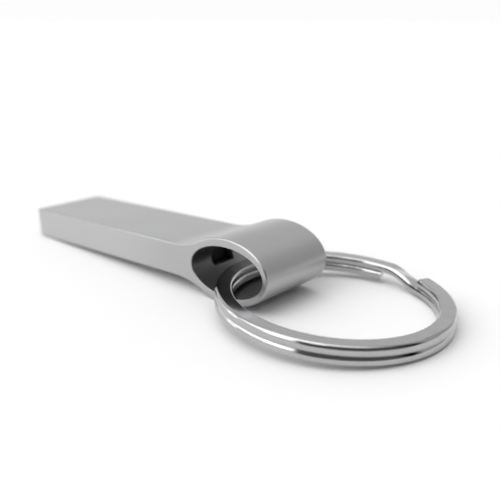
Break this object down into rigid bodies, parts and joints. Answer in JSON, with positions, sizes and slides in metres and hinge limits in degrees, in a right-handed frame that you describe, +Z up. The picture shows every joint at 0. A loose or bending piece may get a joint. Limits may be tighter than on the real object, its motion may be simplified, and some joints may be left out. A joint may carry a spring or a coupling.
{
  "type": "usb flash drive",
  "caption": "Slim one-piece metal USB-A flash drive whose tail widens into an oval eye carrying a split key ring.",
  "frame": {"origin": "centre of the plug mouth, on the plug's long axis", "axes": "+X along the bar from the plug mouth to the ring, +Y across the plug's width, +Z up out of the broad face above the contacts"},
  "size_m": [0.069, 0.0292, 0.01],
  "materials": {
    "satin_metal": "satin nickel plating over cast zinc",
    "ring_steel": "polished nickel-plated steel wire",
    "black_plastic": "moulded black plastic",
    "cover_plastic": "moulded black plastic",
    "latch_plastic": "moulded black plastic",
    "board": "green solder mask",
    "chip_resin": "moulded black resin",
    "can_metal": "plated lid",
    "ceramic_parts": "fired ceramic with tinned ends",
    "resistor_parts": "glazed ceramic with tinned ends",
    "ferrite": "sintered ferrite",
    "adhesive": "soft acrylic foam",
    "gold_contact": "gold plating"
  },
  "bodies": {
    "drive": {"metal_body": "satin_metal", "electronics_tray": "black_plastic", "circuit_board": "board", "memory_chip": "chip_resin", "controller_chip": "chip_resin", "crystal": "can_metal", "capacitors": "ceramic_parts", "resistors": "resistor_parts", "ferrite_bead": "ferrite", "surge_clamp": "chip_resin", "electronics_cover": "cover_plastic", "rear_latch": "latch_plastic", "adhesive_pad": "adhesive", "contact_ground": "gold_contact", "contact_data_plus": "gold_contact", "contact_data_minus": "gold_contact", "contact_power": "gold_contact"},
    "ring": {"split_ring": "ring_steel"}
  },
  "joints": [
    {"name": "ring_swing", "type": "hinge", "parent": "drive", "child": "ring", "pos_m": [0.041, 0, -0.00075], "axis": [0, -1, 0], "range_deg": [0, 165]}
  ]
}
